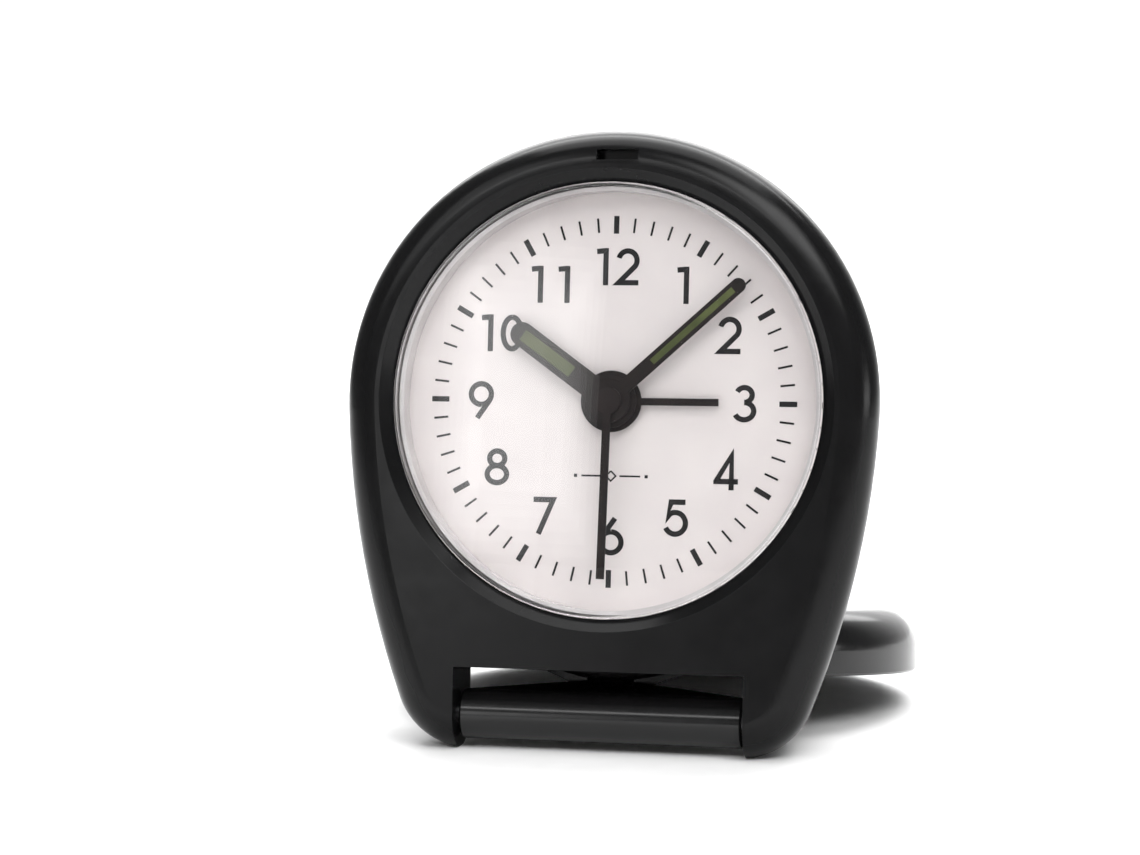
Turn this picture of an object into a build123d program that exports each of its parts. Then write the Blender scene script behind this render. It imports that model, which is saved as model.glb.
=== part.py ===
"""Folding travel alarm clock: a quartz movement in a round-topped case with its cover folded back.

Lengths are millimetres. +Z is up, the dial looks towards -Y and +X is on its right-hand side. The
origin is at the middle of the bounding box's underside. The case leans back until its two ears and
the latch tab of the open cover rest on Z = 0.

Most sketches use the case's own frame: x to the right, v up the case from the dial's centre, and a
depth that grows backwards from the crest of the front bezel.
"""

import os
from math import acos, asin, atan2, cos, degrees, hypot, pi, radians, sin, sqrt

from build123d import *

os.makedirs("parts", exist_ok=True)

# ---------------------------------------------------------------- driving dimensions

# Outline of the case, seen from the front.
CASE_R = 33.5  # round top
SIDE_R = 115.0  # gently bowed sides
CORNER_R = 9.5  # lower outer corners of the ears
CORNER_X = 17.0
FOOT_V = -43.5  # lower ends of the ears
CORNER_V = FOOT_V + CORNER_R

# Depths of the case, backwards from the front crest.
SHOULDER_DEPTH = 4.5  # widest line of the case
SHOULDER_ROUND = 4.4
FACE_BACK = 7.0  # back of the bezel plate
SPLIT_DEPTH = 11.0  # joint between the front and rear shells
BACK_DEPTH = 20.0
FRONT_DRAFT = 6.5  # degrees
REAR_DRAFT = 8.0
WALL = 1.8
SHELL_STEP = 0.15  # rear shell stands inside the front shell's edge by this much

# Hinge ears, notch and cover.
EAR_R = 4.5
EAR_DEPTH = 2 * EAR_R
NOTCH_HALF = 18.1
NOTCH_TOP_V = -33.3
HINGE_DEPTH = 4.6
HINGE_V = -39.2
RIM_LIFT = 5.3  # cover's rim plane above the hinge axis, cover open
COVER_R = 34.3
COVER_WALL_H = 3.2
COVER_SHOULDER = 4.95
COVER_RISE = 0.35  # crown of the dome above its shoulder
COVER_SKIN = 1.6
COVER_GAP = 0.5  # between the open cover and the case
BARREL_R = 3.1
BARREL_HALF = 17.7
PIN_R = 1.2
LATCH_R = 30.2  # latch tab and slot, from the dial's centre
LATCH_X = 1.0  # and a little to the right of it
LATCH_DROP = 1.6  # tab beyond the cover's rim

# Dial opening and crystal.
OPENING_R = 27.0
CREST_R = 28.5
BEVEL_DEPTH = 1.3
SEAT_R = 28.25
SEAT_DEPTH = 5.2
DIAL_DEPTH = 6.2
DIAL_T = 0.8
CRYSTAL_DEPTH = 0.8
CRYSTAL_T = 1.4

# Hands: depth of each front face, and thickness.
SECOND_DEPTH = 2.75
MINUTE_DEPTH = 3.6
HOUR_DEPTH = 4.4
ALARM_DEPTH = 5.2
HAND_T = 0.3
SECOND_ANGLE = 181.0  # degrees clockwise from twelve
MINUTE_ANGLE = 47.8
HOUR_ANGLE = 305.8
ALARM_ANGLE = 89.8

# Movement: wheel layers from the dial backwards.
LAYER_FIRST = 8.35
LAYER_PITCH = 0.85
WHEEL_T = 0.5
PLATE_DEPTH = 7.0
PLATE_T = 1.0
BACK_PLATE_DEPTH = 14.3
BACK_PLATE_T = 0.9
MOTION_MODULE = 0.3
TRAIN_MODULE = 0.25
RUNNING = 0.05  # radial running clearance of arbors

# Battery, one AAA cell lying across the case.
CELL_R = 5.2
CELL_LENGTH = 44.5
CELL_DEPTH = 13.5
CELL_V = -17.6
DOOR_T = 1.1

FLOOR_CUT = 0.2  # depth of the small flats worn on the feet

# ---------------------------------------------------------------- lean of the case and its frames

COVER_DEPTH = HINGE_DEPTH - HINGE_V  # axis of the open cover, behind the hinge
RIM_V = HINGE_V + RIM_LIFT
COVER_TOP = COVER_WALL_H + COVER_SHOULDER
TAB_THICK = 0.7

# The ears touch the floor on their rounded ends and the cover on its latch tab.
tab_rise = RIM_V - LATCH_DROP - (FOOT_V + EAR_R)
tab_run = COVER_DEPTH + LATCH_R + TAB_THICK / 2 - EAR_R
LEAN = degrees(atan2(tab_rise, tab_run) + asin(EAR_R / hypot(tab_rise, tab_run)))
lean_cos = cos(radians(LEAN))
lean_sin = sin(radians(LEAN))

# Place the dial's centre so that the feet end on Z = 0 and the box is centred in Y.
foot_low = (FOOT_V + EAR_R) * lean_cos - EAR_R * lean_sin - EAR_R
FACE_Z = -foot_low - FLOOR_CUT
ear_front = (FOOT_V + SHOULDER_ROUND) * lean_sin + SHOULDER_ROUND * lean_cos - SHOULDER_ROUND
shoulder_v = RIM_V + COVER_WALL_H
shoulder_depth = COVER_DEPTH + COVER_R - COVER_SHOULDER
cover_back = shoulder_v * lean_sin + shoulder_depth * lean_cos + COVER_SHOULDER
FACE_Y = -(ear_front + cover_back) / 2

FACE = Plane(origin=(0, FACE_Y, FACE_Z), x_dir=(1, 0, 0), z_dir=(0, -lean_cos, lean_sin))
SIDE = Plane(origin=FACE.origin, x_dir=-FACE.z_dir, z_dir=(1, 0, 0))
DIAL_AXIS = Axis(FACE.origin, FACE.z_dir)

# The open cover: origin at the middle of its rim, z up through the dome, y towards the back.
COVER = Plane(
    origin=SIDE.from_local_coords((COVER_DEPTH, RIM_V, 0)),
    x_dir=(1, 0, 0),
    z_dir=SIDE.y_dir,
)
COVER_SECTION = Plane(origin=COVER.origin, x_dir=COVER.y_dir, z_dir=(1, 0, 0))
COVER_AXIS = Axis(COVER.origin, COVER.z_dir)
HINGE = Plane(
    origin=SIDE.from_local_coords((HINGE_DEPTH, HINGE_V, 0)),
    x_dir=SIDE.x_dir,
    z_dir=(1, 0, 0),
)
HINGE_SECTION = Plane(origin=HINGE.origin, x_dir=(1, 0, 0), z_dir=FACE.z_dir)
HINGE_AXIS = Axis(HINGE.origin, (1, 0, 0))


def at_depth(depth):
    """Plane parallel to the dial, this far behind the crest of the bezel."""
    return FACE.offset(-depth)


def layer(index):
    """Front of a wheel layer, counted from the dial."""
    return LAYER_FIRST + LAYER_PITCH * (index - 1)


def polar_point(centre, radius, angle):
    """Point at an angle, in degrees anticlockwise from +x, about a centre."""
    return (centre[0] + radius * cos(radians(angle)), centre[1] + radius * sin(radians(angle)))


# ---------------------------------------------------------------- shared outlines

# The bowed side is tangent to the round top at side_angle and to the corner at corner_angle.
side_reach = SIDE_R - CASE_R
corner_distance = hypot(CORNER_X, CORNER_V)
corner_reach = SIDE_R - CORNER_R
side_cosine = (corner_reach**2 - corner_distance**2 - side_reach**2) / (
    2 * side_reach * corner_distance
)
side_angle = degrees(atan2(-CORNER_V, CORNER_X) - acos(side_cosine))
side_centre = (-side_reach * cos(radians(side_angle)), side_reach * sin(radians(side_angle)))
corner_angle = degrees(atan2(side_centre[1] - CORNER_V, CORNER_X - side_centre[0]))


def case_outline(plane, inset=0.0, floor_v=None):
    """Outline of the case, inset from its widest line, with its floor raised where floor_v is given."""
    with BuildSketch(plane) as outline:
        with BuildLine():
            CenterArc((0, 0), CASE_R - inset, -side_angle, 180 + 2 * side_angle)
            side = CenterArc(side_centre, SIDE_R - inset, -side_angle, side_angle - corner_angle)
            corner = CenterArc(
                (CORNER_X, CORNER_V), CORNER_R - inset, -corner_angle, corner_angle - 90
            )
            Line(corner @ 1, (-CORNER_X, FOOT_V + inset))
            mirror(side, about=Plane.YZ)
            mirror(corner, about=Plane.YZ)
        make_face()
        if floor_v is not None:
            with Locations((0, floor_v + CASE_R)):
                Rectangle(3 * CASE_R, 2 * CASE_R, mode=Mode.INTERSECT)
    return outline.sketch


def cover_nest(clearance):
    """Space of the open cover, grown by a clearance and carried down below its rim."""
    reach = COVER_R + clearance
    top = COVER_TOP + clearance
    corner = COVER_SHOULDER + clearance
    with BuildPart() as nest:
        with BuildSketch(COVER_SECTION):
            with BuildLine():
                start = (0, -CASE_R)
                Polyline(start, (reach, -CASE_R), (reach, COVER_WALL_H))
                CenterArc((reach - corner, COVER_WALL_H), corner, 0, 90)
                Polyline((reach - corner, top), (0, top + COVER_RISE), start)
            make_face()
        revolve(axis=COVER_AXIS)
    return nest.part


def gear_points(teeth, module, phase):
    """Outline of a spur wheel with straight flanks and working clearance."""
    step = 2 * pi / teeth
    root = teeth * module / 2 - 1.1 * module
    tip = teeth * module / 2 + 0.65 * module
    corners = ((root, -0.3), (tip, -0.11), (tip, 0.11), (root, 0.3))
    points = []
    for tooth in range(teeth):
        for radius, share in corners:
            angle = radians(phase) + (tooth + share) * step
            points.append((radius * cos(angle), radius * sin(angle)))
    return points


def mesh_phase(teeth_a, phase_a, towards, teeth_b):
    """Phase of wheel b whose gap meets a tooth of wheel a, b lying in direction towards from a."""
    return towards + 180 - (phase_a - towards) * teeth_a / teeth_b + 180 / teeth_b


def heading(start, end):
    """Direction in degrees from one arbor to another."""
    return degrees(atan2(end[1] - start[1], end[0] - start[0]))


def wheel(centre, depth, teeth, module, phase):
    """Toothed disc, added to the current part."""
    with BuildSketch(at_depth(depth)) as disc:
        with Locations(centre):
            Polygon(*gear_points(teeth, module, phase), align=None)
    extrude(disc.sketch, amount=-WHEEL_T)


def shaft(centre, depth, end_depth, radius, mode=Mode.ADD):
    """Round shaft or hole between two depths, added to or cut from the current part."""
    with BuildSketch(at_depth(depth)) as section:
        with Locations(centre):
            Circle(radius)
    extrude(section.sketch, amount=depth - end_depth, mode=mode)


# ---------------------------------------------------------------- positions inside the case

DIAL_CENTRE = (0.0, 0.0)
CASE_SCREWS = ((20.3, 20.3), (-20.3, 20.3), (27.2, -7.0), (-27.2, -7.0))
BOSS_R = 2.2
SCREW_R = 0.85
PILOT_GAP = 0.03
PLATE_POSTS = ((18.0, -8.5), (-18.0, -8.5), (18.0, 10.5), (-18.0, 10.5))
COIL_POSTS = ((11.5, 20.0), (-11.5, 20.0))
BOARD_POSTS = ((20.0, 15.5), (-20.0, 15.5))
COIL_V = 20.0
COIL_DEPTH = 11.2

minute_reach = (10 + 30) * MOTION_MODULE / 2
MINUTE_ARBOR = polar_point(DIAL_CENTRE, minute_reach, -20)
setting_drop = 2.13
TIME_ARBOR = (
    MINUTE_ARBOR[0] + sqrt(minute_reach**2 - setting_drop**2),
    MINUTE_ARBOR[1] - setting_drop,
)
alarm_reach = (32 + 34) * MOTION_MODULE / 2
ALARM_ARBOR = polar_point(DIAL_CENTRE, alarm_reach, 205)
third_reach = (64 + 8) * TRAIN_MODULE / 2
THIRD_ARBOR = (0.0, third_reach)
THIRD_MODULE = 2 * third_reach / (60 + 8)
INTERMEDIATE_ARBOR = polar_point(DIAL_CENTRE, (50 + 10) * TRAIN_MODULE / 2, 150)
ROTOR_ARBOR = polar_point(INTERMEDIATE_ARBOR, (48 + 8) * TRAIN_MODULE / 2, 120)

# Teeth that mesh: the first wheel of each pair has phase 0, its partner follows.
minute_wheel_phase = mesh_phase(10, 0, heading(DIAL_CENTRE, MINUTE_ARBOR), 30)
time_pinion_phase = mesh_phase(30, minute_wheel_phase, heading(MINUTE_ARBOR, TIME_ARBOR), 10)
minute_pinion_phase = mesh_phase(32, 0, heading(DIAL_CENTRE, MINUTE_ARBOR), 8)
alarm_gear_phase = mesh_phase(32, 0, heading(DIAL_CENTRE, ALARM_ARBOR), 34)
third_pinion_phase = mesh_phase(64, 0, heading(DIAL_CENTRE, THIRD_ARBOR), 8)
third_wheel_phase = mesh_phase(8, 0, heading(DIAL_CENTRE, THIRD_ARBOR), 60)
intermediate_pinion_phase = mesh_phase(50, 0, heading(DIAL_CENTRE, INTERMEDIATE_ARBOR), 10)
rotor_pinion_phase = mesh_phase(48, 0, heading(INTERMEDIATE_ARBOR, ROTOR_ARBOR), 8)

SECOND_ARBOR_R = 0.5
CANNON_R = 1.1
HOUR_TUBE_R = 1.7
ALARM_TUBE_R = 2.3
STEM_R = 1.0
KNOB_R = 4.5
KNOB_DEPTH = 19.5
KNOB_H = 3.4
KNOB_RECESS = 0.9

SNOOZE_DEPTH = 12.2
SNOOZE_LENGTH = 4.4
SNOOZE_HALF = 7.25
SNOOZE_TOP_R = 34.2
SWITCH_V = 20.0
SWITCH_TRAVEL = 4.0
DOOR_HALF = 25.8
DOOR_LOW_V = -23.6
DOOR_HIGH_V = -11.6
BUZZER_V = 7.0

# ---------------------------------------------------------------- inside space of the case

with BuildPart() as hollow:
    front_space = case_outline(at_depth(FACE_BACK), WALL + 0.4, NOTCH_TOP_V + WALL)
    extrude(front_space, amount=FACE_BACK - SPLIT_DEPTH)
    add(cover_nest(COVER_GAP + WALL - 0.2), mode=Mode.SUBTRACT)

with BuildPart() as rear_hollow:
    rear_space = case_outline(at_depth(SPLIT_DEPTH), WALL + 0.6, NOTCH_TOP_V + WALL)
    extrude(rear_space, amount=SPLIT_DEPTH - BACK_DEPTH + WALL, taper=REAR_DRAFT)
    add(cover_nest(COVER_GAP + WALL - 0.2), mode=Mode.SUBTRACT)

# ---------------------------------------------------------------- front shell

with BuildPart() as front_case:
    widest = case_outline(at_depth(SHOULDER_DEPTH))
    extrude(widest, amount=SHOULDER_DEPTH)
    fillet(front_case.faces().sort_by(DIAL_AXIS)[-1].edges(), SHOULDER_ROUND)
    extrude(widest, amount=SHOULDER_DEPTH - SPLIT_DEPTH, taper=FRONT_DRAFT)
    # Notch for the barrel, and the rounded backs of the ears.
    with BuildSketch(at_depth(-1)):
        with Locations((0, NOTCH_TOP_V - CORNER_R)):
            Rectangle(2 * NOTCH_HALF, 2 * CORNER_R)
    extrude(amount=-BACK_DEPTH, mode=Mode.SUBTRACT)
    with BuildSketch(SIDE):
        with Locations((EAR_R + SPLIT_DEPTH, NOTCH_TOP_V - CORNER_R)):
            Rectangle(2 * SPLIT_DEPTH, 2 * CORNER_R)
        with Locations((EAR_R, FOOT_V + EAR_R)):
            Circle(EAR_R, mode=Mode.SUBTRACT)
        with Locations((EAR_R, (NOTCH_TOP_V + FOOT_V + EAR_R) / 2)):
            Rectangle(EAR_DEPTH, NOTCH_TOP_V - FOOT_V - EAR_R, mode=Mode.SUBTRACT)
    extrude(amount=CASE_R, both=True, mode=Mode.SUBTRACT)
    add(cover_nest(COVER_GAP), mode=Mode.SUBTRACT)
    # Inside space, and the rebate that takes the rear shell's lip.
    add(hollow.part, mode=Mode.SUBTRACT)
    rebate = case_outline(at_depth(SPLIT_DEPTH), 1.3, NOTCH_TOP_V + 1.0)
    extrude(rebate, amount=1.0, mode=Mode.SUBTRACT)
    # Dial opening: inward bevel, crystal bore, seat for the crystal's flange and the dial.
    with BuildSketch(SIDE):
        with BuildLine():
            Polyline(
                (-1, 0),
                (-1, CREST_R + 1),
                (0, CREST_R),
                (BEVEL_DEPTH, OPENING_R + RUNNING),
                (SEAT_DEPTH, OPENING_R + RUNNING),
                (SEAT_DEPTH, SEAT_R),
                (FACE_BACK, SEAT_R),
                (FACE_BACK, 0),
                close=True,
            )
        make_face()
    revolve(axis=DIAL_AXIS, mode=Mode.SUBTRACT)
    # Screw bosses.
    for place in CASE_SCREWS:
        shaft(place, FACE_BACK, 16.0, BOSS_R)
        shaft(place, FACE_BACK + 2.0, 16.0, SCREW_R - PILOT_GAP, Mode.SUBTRACT)
    # Latch slot in the top of the bezel.
    with BuildSketch(at_depth(-1)):
        with Locations((LATCH_X, LATCH_R)):
            Rectangle(5.2, 1.4)
    extrude(amount=-3.6, mode=Mode.SUBTRACT)
    # Blind bores for the hinge pins.
    with BuildSketch(HINGE.offset(-NOTCH_HALF - 3.8)):
        Circle(PIN_R + RUNNING)
    extrude(amount=2 * (NOTCH_HALF + 3.8), mode=Mode.SUBTRACT)
    # Flats on the feet.
    with BuildSketch(Plane.XY):
        Rectangle(4 * CASE_R, 8 * CASE_R)
    extrude(amount=-5, mode=Mode.SUBTRACT)

front_case.part.label = "front_case"
export_step(front_case.part, "parts/front_case.step")

# ---------------------------------------------------------------- rear shell

REAR_INSET = (SPLIT_DEPTH - SHOULDER_DEPTH) * sin(radians(FRONT_DRAFT)) + SHELL_STEP

with BuildPart() as rear_case:
    rear_outline = case_outline(at_depth(SPLIT_DEPTH), REAR_INSET, NOTCH_TOP_V)
    extrude(rear_outline, amount=SPLIT_DEPTH - BACK_DEPTH, taper=REAR_DRAFT)
    fillet(rear_case.faces().sort_by(DIAL_AXIS)[0].edges(), 2.0)
    # Lip into the front shell's rebate.
    extrude(case_outline(at_depth(SPLIT_DEPTH), 1.4, NOTCH_TOP_V + 1.1), amount=0.9)
    add(cover_nest(COVER_GAP), mode=Mode.SUBTRACT)
    add(hollow.part, mode=Mode.SUBTRACT)
    add(rear_hollow.part, mode=Mode.SUBTRACT)
    # Trough for the cell, open to the back.
    with BuildSketch(SIDE.offset(-26.6)):
        with Locations((CELL_DEPTH, CELL_V)):
            Circle(CELL_R + 1.0)
        with Locations((CELL_DEPTH + 2.8, CELL_V)):
            Rectangle(5.6, 2 * CELL_R + 2.0)
    extrude(amount=53.2)
    with BuildSketch(SIDE.offset(-25.8)):
        with Locations((CELL_DEPTH, CELL_V)):
            Circle(CELL_R + 0.2)
        with Locations((CELL_DEPTH + 3, CELL_V)):
            Rectangle(6, 2 * CELL_R + 0.4)
    extrude(amount=51.6, mode=Mode.SUBTRACT)
    # Stepped opening for the battery door.
    with BuildSketch(at_depth(BACK_DEPTH + 1)):
        with Locations((0, (DOOR_LOW_V + DOOR_HIGH_V) / 2)):
            RectangleRounded(2 * DOOR_HALF, DOOR_HIGH_V - DOOR_LOW_V, 1.5)
    extrude(amount=1 + DOOR_T + 0.1, mode=Mode.SUBTRACT)
    with BuildSketch(at_depth(BACK_DEPTH)):
        with Locations((0, CELL_V)):
            Rectangle(2 * DOOR_HALF - 2.4, 2 * CELL_R + 0.4)
    extrude(amount=BACK_DEPTH - CELL_DEPTH, mode=Mode.SUBTRACT)
    # Screw sleeves with counterbores.
    for place in CASE_SCREWS:
        shaft(place, 16.05, BACK_DEPTH - 0.4, BOSS_R)
        shaft(place, 16.05, BACK_DEPTH + 1, SCREW_R + PILOT_GAP, Mode.SUBTRACT)
        shaft(place, BACK_DEPTH - 1.4, BACK_DEPTH + 1, 1.75, Mode.SUBTRACT)
        # Sleeve room where the lip passes the front shell's boss.
        shaft(place, SPLIT_DEPTH - 1, 16.0, BOSS_R + 0.1, Mode.SUBTRACT)
    # Shallow round recesses and stem holes for the setting knobs.
    for place in (TIME_ARBOR, ALARM_ARBOR):
        shaft(place, BACK_DEPTH - KNOB_RECESS, BACK_DEPTH + 1, KNOB_R + 0.7, Mode.SUBTRACT)
        shaft(place, SPLIT_DEPTH, BACK_DEPTH, STEM_R + 0.15, Mode.SUBTRACT)
    # Slot for the alarm switch.
    with BuildSketch(at_depth(BACK_DEPTH + 1)):
        with Locations((SWITCH_TRAVEL / 2, SWITCH_V)):
            Rectangle(4.0 + SWITCH_TRAVEL + 0.6, 2.6)
    extrude(amount=WALL + 2, mode=Mode.SUBTRACT)
    with BuildSketch(at_depth(BACK_DEPTH + 1)):
        with Locations((SWITCH_TRAVEL / 2, SWITCH_V)):
            RectangleRounded(6.4 + SWITCH_TRAVEL, 5.0, 1.0)
    extrude(amount=1.6, mode=Mode.SUBTRACT)
    # Sound holes over the buzzer: one ring of slots round a middle hole.
    with BuildSketch(at_depth(BACK_DEPTH + 1)):
        with Locations((0, BUZZER_V)):
            Circle(0.8)
        with Locations((0, BUZZER_V)):
            with PolarLocations(3.0, 6):
                Circle(0.7)
    extrude(amount=WALL + 2, mode=Mode.SUBTRACT)
    # Opening in the top wall for the snooze button.
    with BuildSketch(at_depth(SNOOZE_DEPTH - 0.2)):
        with Locations((0, CASE_R)):
            Rectangle(2 * SNOOZE_HALF + 0.4, 9)
    extrude(amount=-SNOOZE_LENGTH - 0.4, mode=Mode.SUBTRACT)

rear_case.part.label = "rear_case"
export_step(rear_case.part, "parts/rear_case.step")

with BuildPart() as battery_door:
    with BuildSketch(at_depth(BACK_DEPTH)):
        with Locations((0, (DOOR_LOW_V + DOOR_HIGH_V) / 2)):
            RectangleRounded(2 * DOOR_HALF - 0.4, DOOR_HIGH_V - DOOR_LOW_V - 0.4, 1.3)
    extrude(amount=DOOR_T)
    # Finger dimple and grip ribs.
    with BuildSketch(at_depth(BACK_DEPTH)):
        with Locations((0, DOOR_HIGH_V - 3.4)):
            SlotOverall(11, 3.2)
    extrude(amount=0.5, mode=Mode.SUBTRACT)
    with BuildSketch(at_depth(BACK_DEPTH)):
        with Locations((0, CELL_V - 2.0)):
            with GridLocations(0, 1.5, 1, 3):
                Rectangle(9, 0.6)
    extrude(amount=-0.3)
    # Snap hooks into the trough.
    with BuildSketch(at_depth(BACK_DEPTH - DOOR_T)):
        for side in (-14, 14):
            with Locations((side, CELL_V - CELL_R + 0.35), (side, CELL_V + CELL_R - 0.35)):
                Rectangle(3.0, 0.5)
    extrude(amount=2.0)

battery_door.part.label = "battery_door"
export_step(battery_door.part, "parts/battery_door.step")

with BuildPart() as case_screws:
    for place in CASE_SCREWS:
        shaft(place, 10.0, BACK_DEPTH - 1.4, SCREW_R - PILOT_GAP)
        shaft(place, BACK_DEPTH - 1.4, BACK_DEPTH - 0.4, 1.55)
        with BuildSketch(at_depth(BACK_DEPTH - 0.4)):
            with Locations(place):
                Rectangle(1.8, 0.4)
                Rectangle(0.4, 1.8)
        extrude(amount=0.5, mode=Mode.SUBTRACT)

case_screws.part.label = "case_screws"
export_step(case_screws.part, "parts/case_screws.step")

# ---------------------------------------------------------------- cover and hinge pins

with BuildPart() as cover:
    # Web from the barrel to the near edge of the dome, drawn in to a waist halfway.
    with BuildSketch(HINGE.offset(-BARREL_HALF + 0.3)):
        with BuildLine():
            Polyline(
                (0.6, 3.0),
                (3.9, 4.4),
                (4.9, 5.0),
                (5.5, 5.5),
                (6.0, 7.2),
                (6.0, RIM_LIFT),
                (5.4, 4.6),
                (3.0, 0.6),
                (0, 0),
                close=True,
            )
        make_face()
    extrude(amount=2 * BARREL_HALF - 0.6)
    web_start = HINGE_DEPTH - COVER_DEPTH
    with BuildSketch(COVER.offset(-2 * RIM_LIFT)):
        for side in (-1, 1):
            with BuildLine():
                near = (side * (BARREL_HALF + 1), web_start + 0.45)
                waist = (side * 3.4, web_start + 3.75)
                flare = (side * 3.4, web_start + 4.45)
                far = (side * 8.5, web_start + 5.95)
                Line(near, waist)
                ThreePointArc(waist, (side * 3.0, web_start + 4.1), flare)
                Polyline(flare, far, (side * (BARREL_HALF + 1), -COVER_R + 5), near)
            make_face()
    extrude(amount=4 * RIM_LIFT, mode=Mode.SUBTRACT)
    # Domed shell, drawn as a half section and turned about its own axis.
    with BuildSketch(COVER_SECTION):
        inner_r = COVER_R - COVER_SKIN
        inner_top = COVER_TOP - COVER_SKIN
        inner_corner = COVER_SHOULDER - COVER_SKIN
        with BuildLine():
            Polyline((inner_r + 0.3, 0), (COVER_R - 0.3, 0), (COVER_R, 0.3), (COVER_R, COVER_WALL_H))
            CenterArc((COVER_R - COVER_SHOULDER, COVER_WALL_H), COVER_SHOULDER, 0, 90)
            outer_edge = (COVER_R - COVER_SHOULDER, COVER_TOP)
            crown = (0, COVER_TOP + COVER_RISE)
            Polyline(outer_edge, crown, (0, inner_top + COVER_RISE))
            Line((0, inner_top + COVER_RISE), (COVER_R - COVER_SHOULDER, inner_top))
            CenterArc((COVER_R - COVER_SHOULDER, COVER_WALL_H), inner_corner, 0, 90)
            Polyline((inner_r, COVER_WALL_H), (inner_r, 0.3), (inner_r + 0.3, 0))
        make_face()
    revolve(axis=COVER_AXIS)
    # Barrel between the ears, its ends chamfered.
    with BuildSketch(HINGE_SECTION):
        with BuildLine():
            Polyline(
                (-BARREL_HALF, 0),
                (-BARREL_HALF, BARREL_R - 0.25),
                (0.25 - BARREL_HALF, BARREL_R),
                (BARREL_HALF - 0.25, BARREL_R),
                (BARREL_HALF, BARREL_R - 0.25),
                (BARREL_HALF, 0),
                close=True,
            )
        make_face()
    revolve(axis=HINGE_AXIS)
    for side in (-1, 1):
        with BuildSketch(HINGE.offset(side * (BARREL_HALF - 1.4))):
            Circle(PIN_R)
        extrude(amount=side * 3, both=True, mode=Mode.SUBTRACT)
    # Latch tab on a foot inside the far wall.
    with BuildSketch(COVER_SECTION.offset(LATCH_X - 2.35)):
        with BuildLine():
            Polyline(
                (LATCH_R - TAB_THICK / 2, -LATCH_DROP),
                (LATCH_R + TAB_THICK / 2, -LATCH_DROP),
                (LATCH_R + TAB_THICK / 2, 0.2),
                (COVER_R - COVER_SKIN / 2, 0.8),
                (COVER_R - COVER_SKIN / 2, 2.6),
                (LATCH_R - TAB_THICK / 2, 2.6),
                close=True,
            )
        make_face()
    extrude(amount=4.7)
    with BuildSketch(Plane.XY):
        Rectangle(4 * CASE_R, 8 * CASE_R)
    extrude(amount=-5, mode=Mode.SUBTRACT)

cover.part.label = "cover"
export_step(cover.part, "parts/cover.step")

with BuildPart() as hinge_pins:
    for side in (-1, 1):
        with BuildSketch(HINGE.offset(side * (BARREL_HALF - 2.9))):
            Circle(PIN_R)
        extrude(amount=side * 6.6)

hinge_pins.part.label = "hinge_pins"
export_step(hinge_pins.part, "parts/hinge_pins.step")

# ---------------------------------------------------------------- crystal and dial

with BuildPart() as crystal:
    with BuildSketch(SIDE):
        skirt = OPENING_R - 1.1
        with BuildLine():
            Polyline(
                (CRYSTAL_DEPTH, 0),
                (CRYSTAL_DEPTH, OPENING_R - 0.9),
                (CRYSTAL_DEPTH + 0.8, OPENING_R),
                (SEAT_DEPTH, OPENING_R),
                (SEAT_DEPTH, SEAT_R - 0.1),
                (DIAL_DEPTH, SEAT_R - 0.1),
                (DIAL_DEPTH, skirt),
                (CRYSTAL_DEPTH + CRYSTAL_T, skirt),
                (CRYSTAL_DEPTH + CRYSTAL_T, 0),
                close=True,
            )
        make_face()
    revolve(axis=DIAL_AXIS)

crystal.part.label = "crystal"
export_step(crystal.part, "parts/crystal.step")

with BuildPart() as dial:
    shaft(DIAL_CENTRE, DIAL_DEPTH, DIAL_DEPTH + DIAL_T, SEAT_R - 0.1)
    shaft(DIAL_CENTRE, DIAL_DEPTH, DIAL_DEPTH + DIAL_T, ALARM_TUBE_R + 0.3, Mode.SUBTRACT)

dial.part.label = "dial"
export_step(dial.part, "parts/dial.step")

# ---------------------------------------------------------------- hands


def clock_plane(depth, angle):
    """Plane at a depth whose y runs along a hand at this angle."""
    turn = radians(angle)
    across = FACE.x_dir * cos(turn) - FACE.y_dir * sin(turn)
    return Plane(origin=at_depth(depth).origin, x_dir=across, z_dir=FACE.z_dir)


with BuildPart() as hour_hand:
    with BuildSketch(clock_plane(HOUR_DEPTH, HOUR_ANGLE)):
        Circle(3.3)
        with Locations((0, 6.95)):
            Rectangle(3.0, 13.9)
        with Locations((0, 13.9)):
            Circle(1.5)
        Circle(HOUR_TUBE_R, mode=Mode.SUBTRACT)
    extrude(amount=-HAND_T)
    # Pocket for the luminous strip.
    with BuildSketch(clock_plane(HOUR_DEPTH, HOUR_ANGLE)):
        with Locations((0, 9.9)):
            Rectangle(1.5, 7.8)
    extrude(amount=-0.15, mode=Mode.SUBTRACT)

hour_hand.part.label = "hour_hand"
export_step(hour_hand.part, "parts/hour_hand.step")

with BuildPart() as hour_hand_inlay:
    with BuildSketch(clock_plane(HOUR_DEPTH, HOUR_ANGLE)):
        with Locations((0, 9.9)):
            Rectangle(1.5, 7.8)
    extrude(amount=-0.15)

hour_hand_inlay.part.label = "hour_hand_inlay"
export_step(hour_hand_inlay.part, "parts/hour_hand_inlay.step")

with BuildPart() as minute_hand:
    with BuildSketch(clock_plane(MINUTE_DEPTH, MINUTE_ANGLE)):
        Circle(2.7)
        with Locations((0, 10.7)):
            Rectangle(1.8, 21.4)
        with Locations((0, 21.4)):
            Circle(0.9)
        Circle(CANNON_R, mode=Mode.SUBTRACT)
    extrude(amount=-HAND_T)
    with BuildSketch(clock_plane(MINUTE_DEPTH, MINUTE_ANGLE)):
        with Locations((0, 13.9)):
            Rectangle(0.8, 13.4)
    extrude(amount=-0.15, mode=Mode.SUBTRACT)

minute_hand.part.label = "minute_hand"
export_step(minute_hand.part, "parts/minute_hand.step")

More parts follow.
